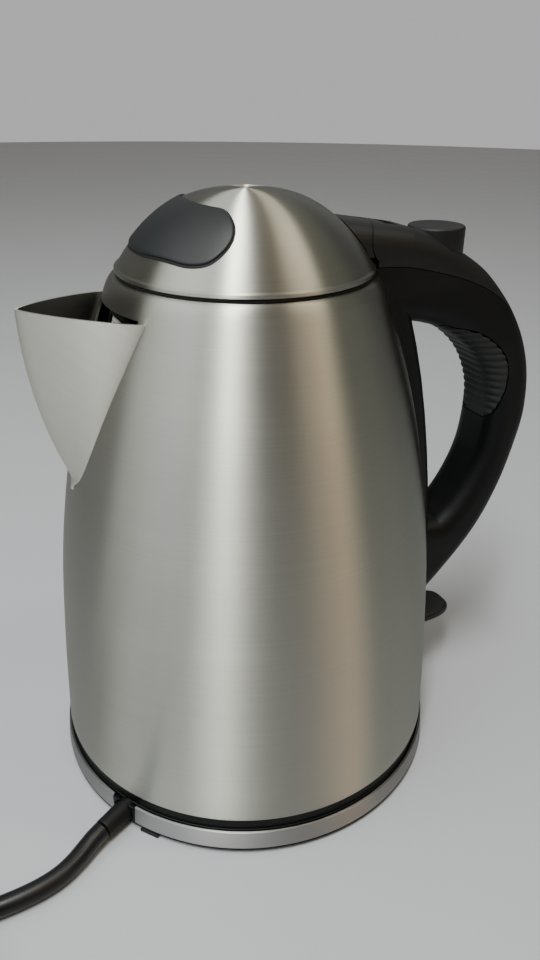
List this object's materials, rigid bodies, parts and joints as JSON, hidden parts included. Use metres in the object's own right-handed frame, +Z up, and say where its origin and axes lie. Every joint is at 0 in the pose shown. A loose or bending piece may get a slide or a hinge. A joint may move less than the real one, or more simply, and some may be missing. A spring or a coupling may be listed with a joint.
{
  "type": "electric kettle",
  "caption": "Cordless electric kettle: tapered steel jug with domed hinged lid, pointed spout and black loop handle on a round power base with mains cord.",
  "frame": {"origin": "centre of the round base on the surface it stands on", "axes": "+Z up, -X towards the spout, +X towards the handle"},
  "size_m": [0.3524, 0.2207, 0.2267],
  "materials": {
    "steel": "brushed round the axis",
    "black_plastic": "fine moulded grain",
    "slate_inlay": "satin",
    "ribbed_grip": "matt, ribbed",
    "rubber": "matt",
    "brass": "plain",
    "aluminium": "as cast",
    "pale_plastic": "plain",
    "clear_window": "clear"
  },
  "bodies": {
    "base": {"base_tray": "black_plastic", "base_band": "steel", "base_top": "black_plastic", "base_connector": "black_plastic", "line_contact": "brass", "foot_1": "rubber", "foot_2": "rubber", "foot_3": "rubber", "foot_4": "rubber", "rim_tab": "black_plastic", "base_screw_1": "brass", "base_screw_2": "brass", "base_screw_3": "brass", "cord_gland": "rubber", "cord": "rubber", "cord_coil": "rubber", "cord_tail": "rubber", "cord_tie": "black_plastic", "plug_body": "rubber", "plug_pin_1": "brass", "plug_pin_2": "brass", "earth_clip_1": "brass", "earth_clip_2": "brass"},
    "connector": {"kettle_connector": "black_plastic"},
    "jug": {"jug_wall": "steel", "spout": "steel", "jug_floor": "steel", "heater_plate": "aluminium", "heating_ring": "aluminium", "control_unit": "pale_plastic", "jug_base_cover": "black_plastic", "cover_screw_1": "brass", "cover_screw_2": "brass", "cover_screw_3": "brass", "filter_frame": "black_plastic", "filter_mesh": "pale_plastic", "handle_body": "black_plastic", "handle_top_cover": "black_plastic", "grip_insert": "ribbed_grip", "gauge_window": "clear_window", "gauge_float": "pale_plastic", "button_spring": "steel", "hinge_pin": "steel", "lid_spring": "steel", "lever_bracket": "black_plastic", "lever_pin": "steel"},
    "lid": {"lid_dome": "steel", "lid_pad": "slate_inlay", "lid_inner": "pale_plastic", "lid_seal": "rubber", "lid_hinge_arm": "black_plastic"},
    "button": {"thumb_button": "black_plastic"},
    "latch": {"latch_slider": "pale_plastic"},
    "lever": {"switch_lever": "black_plastic"}
  },
  "joints": [
    {"name": "jug_lift", "type": "slide", "parent": "base", "child": "connector", "axis": [0, 0, 1], "range_m": [0, 0.06]},
    {"name": "jug_swivel", "type": "hinge", "parent": "connector", "child": "jug", "pos_m": [0, 0, 0.02], "axis": [0, 0, 1], "continuous": true},
    {"name": "lid_hinge", "type": "hinge", "parent": "jug", "child": "lid", "pos_m": [0.052, 0, 0.2075], "axis": [0, 1, 0], "range_deg": [0, 85]},
    {"name": "button_press", "type": "slide", "parent": "jug", "child": "button", "axis": [0, 0, -1], "range_m": [0, 0.004], "stiffness_N_per_m": 300, "springref_m": -0.001, "deforming": ["button_spring"]},
    {"name": "latch_slide", "type": "slide", "parent": "jug", "child": "latch", "axis": [1, 0, 0], "range_m": [0, 0.0025]},
    {"name": "lever_rock", "type": "hinge", "parent": "jug", "child": "lever", "pos_m": [0.0814, 0, 0.0284], "axis": [0, -1, 0], "range_deg": [0, 12]}
  ],
  "couplings": [
    {"joint": "latch_slide", "follows": "button_press", "ratio": 0.625}
  ]
}
